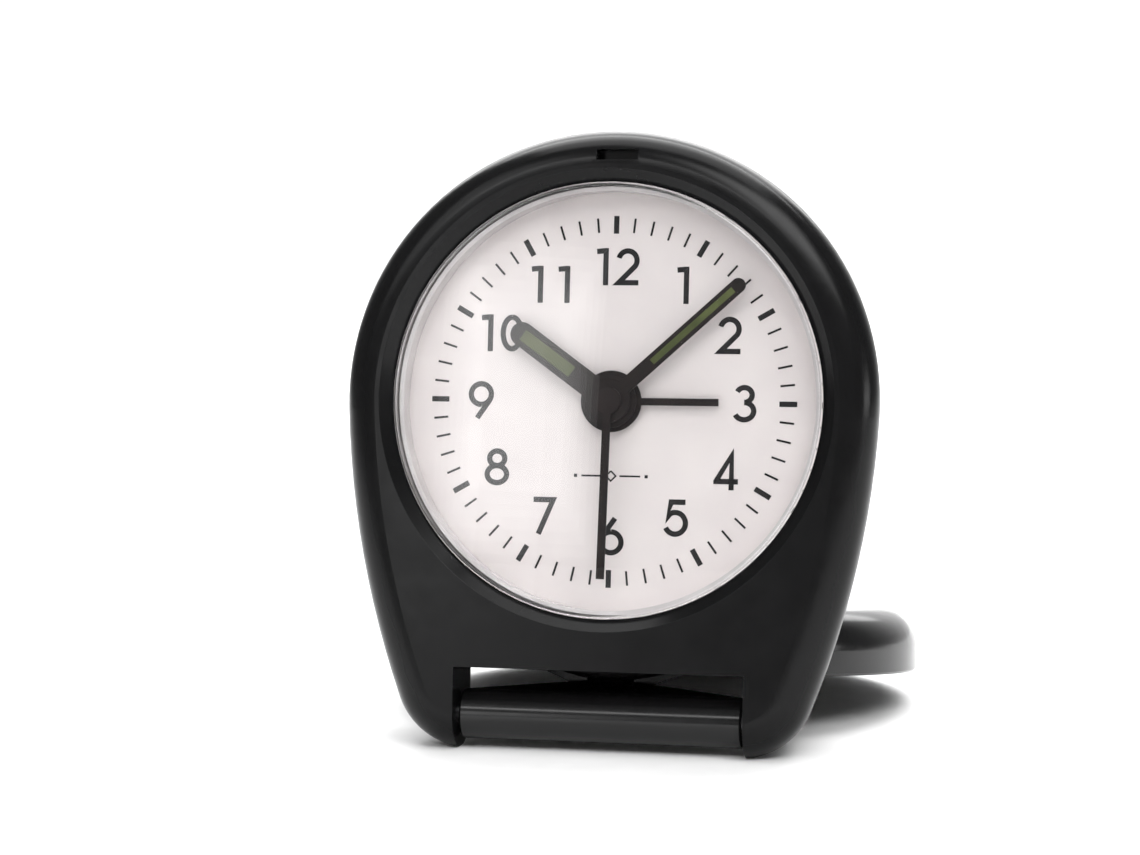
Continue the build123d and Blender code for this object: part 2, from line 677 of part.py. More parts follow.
with BuildPart() as minute_hand_inlay:
    with BuildSketch(clock_plane(MINUTE_DEPTH, MINUTE_ANGLE)):
        with Locations((0, 13.9)):
            Rectangle(0.8, 13.4)
    extrude(amount=-0.15)

minute_hand_inlay.part.label = "minute_hand_inlay"
export_step(minute_hand_inlay.part, "parts/minute_hand_inlay.step")

with BuildPart() as second_hand:
    with BuildSketch(clock_plane(SECOND_DEPTH, SECOND_ANGLE)):
        Circle(1.7)
        with Locations((0, 11.0)):
            Rectangle(1.0, 22.0)
    extrude(amount=-HAND_T)
    # Bushing that presses on the seconds arbor.
    shaft(DIAL_CENTRE, SECOND_DEPTH, SECOND_DEPTH + 0.7, 1.0)
    shaft(DIAL_CENTRE, SECOND_DEPTH + 0.1, SECOND_DEPTH + 0.7, SECOND_ARBOR_R, Mode.SUBTRACT)

second_hand.part.label = "second_hand"
export_step(second_hand.part, "parts/second_hand.step")

with BuildPart() as alarm_hand:
    with BuildSketch(clock_plane(ALARM_DEPTH, ALARM_ANGLE)):
        Circle(3.8)
        with Locations((0, 6.7)):
            Rectangle(0.9, 13.4)
        Circle(ALARM_TUBE_R, mode=Mode.SUBTRACT)
    extrude(amount=-HAND_T)

alarm_hand.part.label = "alarm_hand"
export_step(alarm_hand.part, "parts/alarm_hand.step")

# ---------------------------------------------------------------- movement plates

with BuildPart() as movement_plate:
    with BuildSketch(at_depth(PLATE_DEPTH)):
        Circle(30.2)
        with Locations((0, -10.9 + CASE_R)):
            Rectangle(3 * CASE_R, 2 * CASE_R, mode=Mode.INTERSECT)
        with Locations(*CASE_SCREWS):
            Circle(BOSS_R + 0.2, mode=Mode.SUBTRACT)
        Circle(ALARM_TUBE_R + RUNNING, mode=Mode.SUBTRACT)
    extrude(amount=-PLATE_T)
    for place in PLATE_POSTS:
        shaft(place, PLATE_DEPTH, BACK_PLATE_DEPTH, 1.6)
        shaft(place, 10.3, BACK_PLATE_DEPTH, 0.75, Mode.SUBTRACT)
    for place in COIL_POSTS:
        shaft(place, PLATE_DEPTH, 9.9, 1.7)
        shaft(place, 8.3, 9.9, 0.75, Mode.SUBTRACT)
    for place in BOARD_POSTS:
        shaft(place, PLATE_DEPTH, 14.5, 1.6)
        shaft(place, 10.5, 14.5, 0.75, Mode.SUBTRACT)
    shaft(MINUTE_ARBOR, PLATE_DEPTH, 10.7, 0.45)
    for place, radius in (
        (THIRD_ARBOR, 0.4),
        (ROTOR_ARBOR, 0.45),
        (TIME_ARBOR, STEM_R),
        (ALARM_ARBOR, STEM_R),
    ):
        shaft(place, PLATE_DEPTH + 0.3, PLATE_DEPTH + PLATE_T, radius + RUNNING, Mode.SUBTRACT)

movement_plate.part.label = "movement_plate"
export_step(movement_plate.part, "parts/movement_plate.step")

with BuildPart() as movement_back_plate:
    with BuildSketch(at_depth(BACK_PLATE_DEPTH)):
        with Locations((0, 1.0)):
            RectangleRounded(40, 23.4, 2)
    extrude(amount=-BACK_PLATE_T)
    for place in PLATE_POSTS:
        shaft(place, BACK_PLATE_DEPTH, BACK_PLATE_DEPTH + 1, 0.8, Mode.SUBTRACT)
    shaft(INTERMEDIATE_ARBOR, layer(6) - 0.1, BACK_PLATE_DEPTH, 0.45)
    for place, radius in (
        (DIAL_CENTRE, SECOND_ARBOR_R),
        (THIRD_ARBOR, 0.4),
        (ROTOR_ARBOR, 0.45),
        (TIME_ARBOR, STEM_R),
        (ALARM_ARBOR, STEM_R),
    ):
        shaft(place, BACK_PLATE_DEPTH, BACK_PLATE_DEPTH + 1, radius + RUNNING, Mode.SUBTRACT)

movement_back_plate.part.label = "movement_back_plate"
export_step(movement_back_plate.part, "parts/movement_back_plate.step")

with BuildPart() as movement_screws:
    for places, start, head, hold in (
        (PLATE_POSTS, 10.6, BACK_PLATE_DEPTH + BACK_PLATE_T, 0.72),
        (COIL_POSTS, 8.5, 11.7, 0.72),
        (BOARD_POSTS, 11.0, 15.3, 0.72),
    ):
        for place in places:
            shaft(place, start, head, hold)
            shaft(place, head, head + 0.7, 1.35)

movement_screws.part.label = "movement_screws"
export_step(movement_screws.part, "parts/movement_screws.step")

# ---------------------------------------------------------------- motion work

with BuildPart() as cannon_pinion:
    wheel(DIAL_CENTRE, layer(3), 10, MOTION_MODULE, 0)
    shaft(DIAL_CENTRE, MINUTE_DEPTH, layer(4) + WHEEL_T + 0.1, CANNON_R)
    shaft(DIAL_CENTRE, MINUTE_DEPTH, BACK_DEPTH, SECOND_ARBOR_R + RUNNING, Mode.SUBTRACT)

cannon_pinion.part.label = "cannon_pinion"
export_step(cannon_pinion.part, "parts/cannon_pinion.step")

with BuildPart() as hour_wheel:
    wheel(DIAL_CENTRE, layer(2), 32, MOTION_MODULE, 0)
    shaft(DIAL_CENTRE, HOUR_DEPTH, layer(2) + WHEEL_T, HOUR_TUBE_R)
    shaft(DIAL_CENTRE, HOUR_DEPTH, BACK_DEPTH, CANNON_R + RUNNING, Mode.SUBTRACT)

hour_wheel.part.label = "hour_wheel"
export_step(hour_wheel.part, "parts/hour_wheel.step")

with BuildPart() as alarm_wheel:
    wheel(DIAL_CENTRE, layer(1), 32, MOTION_MODULE, 0)
    shaft(DIAL_CENTRE, ALARM_DEPTH, layer(1) + WHEEL_T, ALARM_TUBE_R)
    shaft(DIAL_CENTRE, ALARM_DEPTH, BACK_DEPTH, HOUR_TUBE_R + RUNNING, Mode.SUBTRACT)

alarm_wheel.part.label = "alarm_wheel"
export_step(alarm_wheel.part, "parts/alarm_wheel.step")

with BuildPart() as minute_wheel:
    wheel(MINUTE_ARBOR, layer(3), 30, MOTION_MODULE, minute_wheel_phase)
    wheel(MINUTE_ARBOR, layer(2), 8, MOTION_MODULE, minute_pinion_phase)
    shaft(MINUTE_ARBOR, layer(2) + WHEEL_T, layer(3), 0.8)
    shaft(MINUTE_ARBOR, layer(1), BACK_DEPTH, 0.45 + RUNNING, Mode.SUBTRACT)

minute_wheel.part.label = "minute_wheel"
export_step(minute_wheel.part, "parts/minute_wheel.step")

KNOB_SOCKET = 2.4

with BuildPart() as time_set_arbor:
    wheel(TIME_ARBOR, layer(3), 10, MOTION_MODULE, time_pinion_phase)
    shaft(TIME_ARBOR, PLATE_DEPTH + 0.4, KNOB_DEPTH + KNOB_SOCKET, STEM_R)

time_set_arbor.part.label = "time_set_arbor"
export_step(time_set_arbor.part, "parts/time_set_arbor.step")

with BuildPart() as alarm_set_arbor:
    wheel(ALARM_ARBOR, layer(1), 34, MOTION_MODULE, alarm_gear_phase)
    shaft(ALARM_ARBOR, PLATE_DEPTH + 0.4, KNOB_DEPTH + KNOB_SOCKET, STEM_R)

alarm_set_arbor.part.label = "alarm_set_arbor"
export_step(alarm_set_arbor.part, "parts/alarm_set_arbor.step")


def knob(place):
    """Fluted setting knob with a raised pointer, added to the current part."""
    shaft(place, KNOB_DEPTH, KNOB_DEPTH + KNOB_H, KNOB_R)
    with BuildSketch(at_depth(KNOB_DEPTH)) as flutes:
        with Locations(place):
            with PolarLocations(KNOB_R, 24):
                Circle(0.3)
    extrude(flutes.sketch, amount=-KNOB_H, mode=Mode.SUBTRACT)
    with BuildSketch(at_depth(KNOB_DEPTH + KNOB_H)) as top:
        with Locations(place):
            Circle(KNOB_R - 0.9)
    extrude(top.sketch, amount=-0.4, taper=20)
    with BuildSketch(at_depth(KNOB_DEPTH + KNOB_H)) as pointer:
        with Locations(place):
            SlotOverall(4.6, 1.2)
    extrude(pointer.sketch, amount=-0.7)
    shaft(place, KNOB_DEPTH, KNOB_DEPTH + KNOB_SOCKET, STEM_R, Mode.SUBTRACT)


with BuildPart() as time_set_knob:
    knob(TIME_ARBOR)

time_set_knob.part.label = "time_set_knob"
export_step(time_set_knob.part, "parts/time_set_knob.step")

with BuildPart() as alarm_set_knob:
    knob(ALARM_ARBOR)

alarm_set_knob.part.label = "alarm_set_knob"
export_step(alarm_set_knob.part, "parts/alarm_set_knob.step")

# ---------------------------------------------------------------- going train

ARBOR_END = BACK_PLATE_DEPTH + BACK_PLATE_T - 0.1

with BuildPart() as centre_wheel:
    wheel(DIAL_CENTRE, layer(4), 64, TRAIN_MODULE, 0)
    shaft(DIAL_CENTRE, layer(4), BACK_DEPTH, CANNON_R + RUNNING, Mode.SUBTRACT)
    with BuildSketch(at_depth(layer(4))):
        with PolarLocations(4.6, 5):
            Circle(1.6)
    extrude(amount=-WHEEL_T, mode=Mode.SUBTRACT)

centre_wheel.part.label = "centre_wheel"
export_step(centre_wheel.part, "parts/centre_wheel.step")

with BuildPart() as third_wheel:
    wheel(THIRD_ARBOR, layer(5), 60, THIRD_MODULE, third_wheel_phase)
    wheel(THIRD_ARBOR, layer(4), 8, TRAIN_MODULE, third_pinion_phase)
    shaft(THIRD_ARBOR, PLATE_DEPTH + 0.4, ARBOR_END, 0.4)

third_wheel.part.label = "third_wheel"
export_step(third_wheel.part, "parts/third_wheel.step")

with BuildPart() as second_wheel:
    wheel(DIAL_CENTRE, layer(6), 50, TRAIN_MODULE, 0)
    wheel(DIAL_CENTRE, layer(5), 8, THIRD_MODULE, 0)
    shaft(DIAL_CENTRE, SECOND_DEPTH + 0.1, ARBOR_END, SECOND_ARBOR_R)

second_wheel.part.label = "second_wheel"
export_step(second_wheel.part, "parts/second_wheel.step")

with BuildPart() as intermediate_wheel:
    wheel(INTERMEDIATE_ARBOR, layer(7), 48, TRAIN_MODULE, 0)
    wheel(INTERMEDIATE_ARBOR, layer(6), 10, TRAIN_MODULE, intermediate_pinion_phase)
    shaft(INTERMEDIATE_ARBOR, layer(6) + WHEEL_T, layer(7), 0.9)
    shaft(INTERMEDIATE_ARBOR, layer(6), BACK_DEPTH, 0.45 + RUNNING, Mode.SUBTRACT)

intermediate_wheel.part.label = "intermediate_wheel"
export_step(intermediate_wheel.part, "parts/intermediate_wheel.step")

with BuildPart() as rotor_pinion:
    wheel(ROTOR_ARBOR, layer(7), 8, TRAIN_MODULE, rotor_pinion_phase)
    shaft(ROTOR_ARBOR, PLATE_DEPTH + 0.4, ARBOR_END, 0.45)

rotor_pinion.part.label = "rotor_pinion"
export_step(rotor_pinion.part, "parts/rotor_pinion.step")

with BuildPart() as rotor_magnet:
    shaft(ROTOR_ARBOR, 9.3, 11.2, 2.4)
    shaft(ROTOR_ARBOR, 9.3, 11.2, 0.45, Mode.SUBTRACT)

rotor_magnet.part.label = "rotor_magnet"
export_step(rotor_magnet.part, "parts/rotor_magnet.step")

# ---------------------------------------------------------------- stepping motor

with BuildPart() as stator:
    with BuildSketch(at_depth(9.9)):
        with Locations(ROTOR_ARBOR):
            Circle(4.6)
        with Locations((-11.5, 17.0)):
            Rectangle(4.0, 9.0)
        with Locations((11.5, 17.0)):
            Rectangle(4.0, 9.0)
        with Locations((3.5, 13.6)):
            Rectangle(20.0, 3.6)
        with Locations(ROTOR_ARBOR):
            Circle(2.9, mode=Mode.SUBTRACT)
        with Locations(*COIL_POSTS):
            Circle(0.8, mode=Mode.SUBTRACT)
    extrude(amount=-0.8)

stator.part.label = "stator"
export_step(stator.part, "parts/stator.step")

with BuildPart() as coil_core:
    with BuildSketch(at_depth(10.7)):
        with Locations((0, COIL_V)):
            Rectangle(27.0, 3.2)
        with Locations(*COIL_POSTS):
            Circle(0.8, mode=Mode.SUBTRACT)
    extrude(amount=-1.0)

coil_core.part.label = "coil_core"
export_step(coil_core.part, "parts/coil_core.step")

with BuildPart() as coil_bobbin:
    with BuildSketch(SIDE.offset(-8.5)):
        with Locations((COIL_DEPTH, COIL_V)):
            RectangleRounded(5.8, 6.4, 0.8)
    extrude(amount=17.0)
    with BuildSketch(SIDE.offset(-7.5)):
        with Locations((COIL_DEPTH, COIL_V)):
            Rectangle(7, 8)
            RectangleRounded(2.4, 4.6, 0.5, mode=Mode.SUBTRACT)
    extrude(amount=15.0, mode=Mode.SUBTRACT)
    with BuildSketch(SIDE.offset(-9)):
        with Locations((COIL_DEPTH, COIL_V)):
            Rectangle(1.1, 3.3)
    extrude(amount=18.0, mode=Mode.SUBTRACT)

coil_bobbin.part.label = "coil_bobbin"
export_step(coil_bobbin.part, "parts/coil_bobbin.step")

with BuildPart() as coil_winding:
    with BuildSketch(SIDE.offset(-7.4)):
        with Locations((COIL_DEPTH, COIL_V)):
            RectangleRounded(5.0, 5.8, 1.6)
            RectangleRounded(2.44, 4.64, 0.5, mode=Mode.SUBTRACT)
    extrude(amount=14.8)

coil_winding.part.label = "coil_winding"
export_step(coil_winding.part, "parts/coil_winding.step")

# ---------------------------------------------------------------- electronics

BOARD_DEPTH = 14.5
BOARD_T = 0.8

with BuildPart() as circuit_board:
    with BuildSketch(at_depth(BOARD_DEPTH)):
        with Locations((0, 20.0)):
            Rectangle(26.0, 13.2)
        with Locations((0, 15.3)):
            Rectangle(44.0, 3.8)
        with Locations(*BOARD_POSTS):
            Circle(0.8, mode=Mode.SUBTRACT)
    extrude(amount=-BOARD_T)

circuit_board.part.label = "circuit_board"
export_step(circuit_board.part, "parts/circuit_board.step")

with BuildPart() as control_chip:
    shaft((-10.5, 19.0), BOARD_DEPTH + BOARD_T, BOARD_DEPTH + BOARD_T + 0.9, 2.6)
    fillet(control_chip.edges().sort_by(DIAL_AXIS)[0], 0.6)

control_chip.part.label = "control_chip"
export_step(control_chip.part, "parts/control_chip.step")

with BuildPart() as quartz_can:
    with BuildSketch(SIDE.offset(8.0)):
        with Locations((BOARD_DEPTH + BOARD_T + 1.0, 23.8)):
            Circle(1.0)
    extrude(amount=6.2)

quartz_can.part.label = "quartz_can"
export_step(quartz_can.part, "parts/quartz_can.step")

with BuildPart() as buzzer:
    shaft((0, BUZZER_V), BACK_DEPTH - WALL - 0.3, BACK_DEPTH - WALL, 6.6)
    shaft((0, BUZZER_V), BACK_DEPTH - WALL - 0.5, BACK_DEPTH - WALL - 0.3, 5.0)

buzzer.part.label = "buzzer"
export_step(buzzer.part, "parts/buzzer.step")

with BuildPart() as snooze_contact:
    with BuildSketch(SIDE.offset(-4)):
        with BuildLine():
            Polyline(
                (BOARD_DEPTH - 1.4, 27.35),
                (BOARD_DEPTH + BOARD_T + 0.3, 27.35),
                (BOARD_DEPTH + BOARD_T + 0.3, 25.4),
                (BOARD_DEPTH + BOARD_T, 25.4),
                (BOARD_DEPTH + BOARD_T, 27.05),
                (BOARD_DEPTH - 1.4, 27.05),
                close=True,
            )
        make_face()
    extrude(amount=8)

snooze_contact.part.label = "snooze_contact"
export_step(snooze_contact.part, "parts/snooze_contact.step")

with BuildPart() as alarm_contact:
    with BuildSketch(at_depth(PLATE_DEPTH + PLATE_T)):
        with BuildLine():
            Polyline(
                (4.2, -5.6),
                (5.4, -7.4),
                (13.6, -7.4),
                (13.6, -9.0),
                (13.9, -9.0),
                (13.9, -7.1),
                (5.6, -7.1),
                (4.5, -5.4),
                close=True,
            )
        make_face()
    extrude(amount=-0.9)

alarm_contact.part.label = "alarm_contact"
export_step(alarm_contact.part, "parts/alarm_contact.step")

# ---------------------------------------------------------------- battery and contacts

CELL_START = -22.0

with BuildPart() as battery:
    with BuildSketch(SIDE.offset(CELL_START)):
        with Locations((CELL_DEPTH, CELL_V)):
            Circle(CELL_R)
    extrude(amount=CELL_LENGTH - 0.9)
    chamfer(battery.edges().filter_by(GeomType.CIRCLE), 0.4)
    with BuildSketch(SIDE.offset(CELL_START + CELL_LENGTH - 0.9)):
        with Locations((CELL_DEPTH, CELL_V)):
            Circle(1.9)
    extrude(amount=0.9)

battery.part.label = "battery"
export_step(battery.part, "parts/battery.step")

with BuildPart() as battery_plate:
    with BuildSketch(SIDE.offset(CELL_START + CELL_LENGTH + 0.1)):
        with Locations((CELL_DEPTH, CELL_V)):
            RectangleRounded(8, 8, 1)
    extrude(amount=0.35)
    # Foot that backs on the end of the trough.
    with BuildSketch(SIDE.offset(CELL_START + CELL_LENGTH + 0.45)):
        with Locations((CELL_DEPTH, CELL_V)):
            Rectangle(3, 3)
    extrude(amount=2.8)

battery_plate.part.label = "battery_plate"
export_step(battery_plate.part, "parts/battery_plate.step")

with BuildPart() as battery_spring:
    with BuildSketch(SIDE.offset(-25.75)):
        with Locations((CELL_DEPTH, CELL_V)):
            RectangleRounded(8, 8, 1)
    extrude(amount=0.35)
    # Coils of the contact spring, each a touching ring smaller than the last.
    for turn in range(4):
        ring = Plane(
            origin=SIDE.from_local_coords((CELL_DEPTH, CELL_V, -25.1 + 0.8 * turn)),
            x_dir=SIDE.x_dir,
            z_dir=(1, 0, 0),
        )
        with BuildSketch(ring):
            Circle(3.6 - 0.5 * turn)
            Circle(2.6 - 0.5 * turn, mode=Mode.SUBTRACT)
        extrude(amount=0.45, both=True)

battery_spring.part.label = "battery_spring"
export_step(battery_spring.part, "parts/battery_spring.step")

# ---------------------------------------------------------------- buttons

with BuildPart() as snooze_button:
    with BuildSketch(at_depth(SNOOZE_DEPTH)):
        Circle(SNOOZE_TOP_R)
        with Locations((0, 29.6 + 10)):
            Rectangle(2 * SNOOZE_HALF, 20, mode=Mode.INTERSECT)
    extrude(amount=-SNOOZE_LENGTH)
    ends = snooze_button.edges().filter_by(Axis(FACE.origin, FACE.z_dir))
    fillet(ends.group_by(Axis(FACE.origin, FACE.y_dir))[-1], 1.2)
    fillet(snooze_button.edges().group_by(Axis(FACE.origin, FACE.y_dir))[-1], 0.6)
    with BuildSketch(at_depth(SNOOZE_DEPTH - 0.5)):
        Circle(29.9)
        with Locations((0, 28.6 + 10)):
            Rectangle(2 * SNOOZE_HALF + 2.4, 20, mode=Mode.INTERSECT)
    extrude(amount=-SNOOZE_LENGTH - 1.0)

snooze_button.part.label = "snooze_button"
export_step(snooze_button.part, "parts/snooze_button.step")

with BuildPart() as alarm_switch:
    with BuildSketch(at_depth(BACK_DEPTH - 0.4)):
        with Locations((0, SWITCH_V)):
            RectangleRounded(5.6, 4.2, 0.8)
    extrude(amount=-1.5)
    with BuildSketch(at_depth(BACK_DEPTH + 1.1)):
        with Locations((0, SWITCH_V)):
            with GridLocations(1.3, 0, 4, 1):
                Rectangle(0.5, 3.2)
    extrude(amount=-0.35)
    with BuildSketch(at_depth(BACK_DEPTH - 0.4)):
        with Locations((0, SWITCH_V)):
            Rectangle(4.0, 2.2)
    extrude(amount=2.0)
    with BuildSketch(at_depth(BACK_DEPTH - WALL - 0.15)):
        with Locations((0, SWITCH_V)):
            Rectangle(5.6, 4.0)
    extrude(amount=0.7)

alarm_switch.part.label = "alarm_switch"
export_step(alarm_switch.part, "parts/alarm_switch.step")

print("lean", round(LEAN, 3), "dial centre", round(FACE_Y, 3), round(FACE_Z, 3))
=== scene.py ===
"""Looks of the folding travel alarm clock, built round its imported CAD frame."""
from math import cos, pi, radians, sin

import bmesh
import bpy
from mathutils import Matrix, Vector


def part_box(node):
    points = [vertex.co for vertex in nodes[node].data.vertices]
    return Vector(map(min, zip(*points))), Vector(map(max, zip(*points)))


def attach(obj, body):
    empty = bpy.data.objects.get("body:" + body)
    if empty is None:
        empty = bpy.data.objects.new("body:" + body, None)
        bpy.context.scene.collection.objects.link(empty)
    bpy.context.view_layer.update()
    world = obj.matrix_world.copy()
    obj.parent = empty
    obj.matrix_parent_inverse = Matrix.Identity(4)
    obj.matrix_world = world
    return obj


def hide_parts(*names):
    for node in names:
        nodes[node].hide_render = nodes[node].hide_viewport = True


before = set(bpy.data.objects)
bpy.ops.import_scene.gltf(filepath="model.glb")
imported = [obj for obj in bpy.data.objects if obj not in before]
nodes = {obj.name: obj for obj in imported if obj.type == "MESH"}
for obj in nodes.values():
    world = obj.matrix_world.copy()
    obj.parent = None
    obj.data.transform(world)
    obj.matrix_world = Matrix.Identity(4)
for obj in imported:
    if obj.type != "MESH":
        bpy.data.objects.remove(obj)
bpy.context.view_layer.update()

MM = 0.001
LEAN = radians(6.558)  # the case leans back by this much
DIAL_DEPTH = 6.2  # front of the dial behind the crest of the bezel, all depths in mm
DIAL_MIDDLE = 6.6
CRYSTAL_FACE = 0.8
TICK_OUTER = 23.0
TICK_INNER = 20.8
MINUTE_OUTER = 22.8
MINUTE_INNER = 21.0
NUMERAL_R = 16.7
NUMERAL_H = 4.6
PEN = 0.66  # stroke width of the numerals and the hour ticks
FINE_PEN = 0.26  # and of the minute ticks
PRINT_T = 0.03  # thickness of the printed ink
ORNAMENT_DROP = 9.2
ARROW_R = 6.3
ARROW_PEN = 0.5
ARROW_LOW = -20.25  # the arrows stand on the rear face of the case, which is 20 deep
ARROW_HIGH = -19.9
CRYSTAL_T = 1.4
WINDOW_R = 26.95
WINDOW_EDGE = 0.55  # rounding of the crystal's front edge
SKIRT_R = 25.9

# ---------------------------------------------------------------- the dial's own frame

# x to the right of the dial, y up the case, z towards whoever reads it.
toward = Vector((0, -cos(LEAN), sin(LEAN)))
upward = Vector((0, sin(LEAN), cos(LEAN)))
dial_low, dial_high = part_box("dial")
crest = (dial_low + dial_high) / 2 + DIAL_MIDDLE * MM * toward
FACE = Matrix.Translation(crest) @ Matrix((
    (1, 0, 0, 0),
    (0, upward.y, toward.y, 0),
    (0, upward.z, toward.z, 0),
    (0, 0, 0, 1),
)) @ Matrix.Scale(MM, 4)


def face_point(x, v, depth):
    """Point of the clock's face, in mm from the dial's centre, as a place in the row frame."""
    return FACE @ Vector((x, v, -depth))


# ---------------------------------------------------------------- materials


def principled(name, **values):
    """A new material and its Principled shader, with plain values on the shader's own sockets."""
    material = bpy.data.materials.new(name)
    material.use_nodes = True
    shader = material.node_tree.nodes["Principled BSDF"]
    for socket, value in values.items():
        shader.inputs[socket.replace("_", " ")].default_value = value
    return material, shader


def noise(tree, scale, detail=4.0, stretch=(1, 1, 1)):
    """Noise over the object's own millimetres."""
    where = tree.nodes.new("ShaderNodeTexCoord")
    mapping = tree.nodes.new("ShaderNodeMapping")
    mapping.inputs["Scale"].default_value = [s / MM for s in stretch]
    texture = tree.nodes.new("ShaderNodeTexNoise")
    texture.inputs["Scale"].default_value = scale
    texture.inputs["Detail"].default_value = detail
    tree.links.new(where.outputs["Object"], mapping.inputs["Vector"])
    tree.links.new(mapping.outputs["Vector"], texture.inputs["Vector"])
    return texture.outputs["Fac"]


def ramp(tree, factor, stops):
    """A colour ramp on a factor; each stop is (position, colour or grey)."""
    node = tree.nodes.new("ShaderNodeValToRGB")
    elements = node.color_ramp.elements
    while len(elements) < len(stops):
        elements.new(0.5)
    for element, (position, value) in zip(elements, stops):
        element.position = position
        grey = isinstance(value, (int, float))
        element.color = (value, value, value, 1) if grey else (*value, 1)
    tree.links.new(factor, node.inputs["Fac"])
    return node.outputs["Color"]


def bump(tree, shader, heights, radius=0.0):
    """Bumps one on another, each (factor, strength, distance in mm), over softly rounded edges."""
    normal = None
    if radius:
        bevel = tree.nodes.new("ShaderNodeBevel")
        bevel.samples = 4
        bevel.inputs["Radius"].default_value = radius * MM
        normal = bevel.outputs["Normal"]
    for factor, strength, distance in heights:
        node = tree.nodes.new("ShaderNodeBump")
        node.inputs["Strength"].default_value = strength
        node.inputs["Distance"].default_value = distance * MM
        tree.links.new(factor, node.inputs["Height"])
        if normal:
            tree.links.new(normal, node.inputs["Normal"])
        normal = node.outputs["Normal"]
    if normal:
        tree.links.new(normal, shader.inputs["Normal"])


def moulded(name, dark, light, gloss, grain, shine=0.5, radius=0.12, grain_size=2.4):
    """Moulded plastic: cloudy colour, handled patches of gloss, a fine grain and softened edges."""
    material, shader = principled(name, IOR=1.5, Specular_IOR_Level=shine)
    tree = material.node_tree
    cloud = ramp(tree, noise(tree, 0.16), ((0.3, dark), (0.7, light)))
    tree.links.new(cloud, shader.inputs["Base Color"])
    rough = ramp(tree, noise(tree, 0.35, 6.0), ((0.25, gloss[0]), (0.75, gloss[1])))
    tree.links.new(rough, shader.inputs["Roughness"])
    fine = noise(tree, grain_size, 3.0)
    waves = noise(tree, 0.12, 1.0)
    bump(tree, shader, ((fine, grain, 0.02), (waves, 0.25, 0.05)), radius)
    return material


def metal(name, dark, light, rough, brush=(1, 1, 1), scratch=0.15):
    """Bare or plated metal with brushed streaks and a slight tarnish."""
    material, shader = principled(name, Metallic=1.0)
    tree = material.node_tree
    tarnish = noise(tree, 0.5, 5.0)
    tree.links.new(ramp(tree, tarnish, ((0.3, dark), (0.7, light))), shader.inputs["Base Color"])
    streaks = noise(tree, 3.0, 4.0, brush)
    tree.links.new(ramp(tree, streaks, ((0.3, rough[0]), (0.7, rough[1]))), shader.inputs["Roughness"])
    bump(tree, shader, ((streaks, scratch, 0.01),), 0.05)
    return material


def clear(name, tint, rough):
    """Clear acrylic that bends what is seen through it and lets lamps through."""
    material, shader = principled(
        name, IOR=1.49, Transmission_Weight=1.0, Roughness=rough, Base_Color=(*tint, 1)
    )
    tree = material.node_tree
    haze = ramp(tree, noise(tree, 0.12, 3.0), ((0.45, rough), (0.8, rough + 0.012)))
    tree.links.new(haze, shader.inputs["Roughness"])
    path = tree.nodes.new("ShaderNodeLightPath")
    through = tree.nodes.new("ShaderNodeBsdfTransparent")
    mix = tree.nodes.new("ShaderNodeMixShader")
    tree.links.new(path.outputs["Is Shadow Ray"], mix.inputs["Fac"])
    tree.links.new(shader.outputs["BSDF"], mix.inputs[1])
    tree.links.new(through.outputs["BSDF"], mix.inputs[2])
    tree.links.new(mix.outputs["Shader"], tree.nodes["Material Output"].inputs["Surface"])
    return material


GLOSSY_BLACK = ((0.0048, 0.0048, 0.005), (0.006, 0.006, 0.0063))
case_black = moulded("case_black", *GLOSSY_BLACK, (0.17, 0.25), 0.12, 0.17)
cover_black = moulded("cover_black", *GLOSSY_BLACK, (0.15, 0.22), 0.1, 0.42)
rear_black = moulded(
    "rear_black", (0.008, 0.008, 0.0085), (0.014, 0.014, 0.0145), (0.42, 0.56), 0.6, 0.3
)
knob_black = moulded(
    "knob_black", (0.014, 0.014, 0.0145), (0.022, 0.022, 0.023), (0.36, 0.48), 0.4, 0.4
)
button_grey = moulded("button_grey", (0.05, 0.05, 0.052), (0.08, 0.08, 0.083), (0.34, 0.46), 0.4, 0.4)
card_white = moulded("card_white", (0.8, 0.74, 0.735), (0.86, 0.8, 0.79), (0.5, 0.62), 0.25, 0.3)
ink_black = moulded("ink_black", (0.008, 0.007, 0.008), (0.015, 0.013, 0.014), (0.4, 0.5), 0.3, 0.2)
hand_dark = moulded("hand_dark", (0.008, 0.004, 0.0038), (0.013, 0.0075, 0.007), (0.35, 0.5), 0.3, 0.18)
luminous = moulded("luminous", (0.05, 0.06, 0.02), (0.12, 0.14, 0.05), (0.7, 0.85), 0.8, 0.2)
acetal = moulded("acetal", (0.68, 0.67, 0.62), (0.75, 0.74, 0.69), (0.4, 0.55), 0.3)
gear_cream = moulded("gear_cream", (0.74, 0.7, 0.58), (0.8, 0.76, 0.65), (0.4, 0.55), 0.3)
board_green = moulded("board_green", (0.02, 0.11, 0.045), (0.03, 0.15, 0.06), (0.3, 0.45), 0.4)
chip_black = moulded("chip_black", (0.01, 0.01, 0.01), (0.02, 0.02, 0.02), (0.3, 0.6), 0.5)
sleeve_blue = moulded("sleeve_blue", (0.03, 0.05, 0.14), (0.04, 0.065, 0.18), (0.22, 0.34), 0.1)
steel = metal("steel", (0.27, 0.27, 0.28), (0.38, 0.38, 0.39), (0.28, 0.46), (1, 6, 1))
brass = metal("brass", (0.6, 0.43, 0.17), (0.74, 0.56, 0.26), (0.25, 0.4))
copper = metal("copper", (0.58, 0.26, 0.1), (0.7, 0.34, 0.15), (0.25, 0.4), (12, 1, 1), 0.5)
magnet = metal("magnet", (0.1, 0.1, 0.1), (0.16, 0.16, 0.16), (0.5, 0.7))
crystal_clear = clear("crystal_clear", (0.985, 0.99, 0.99), 0.0)
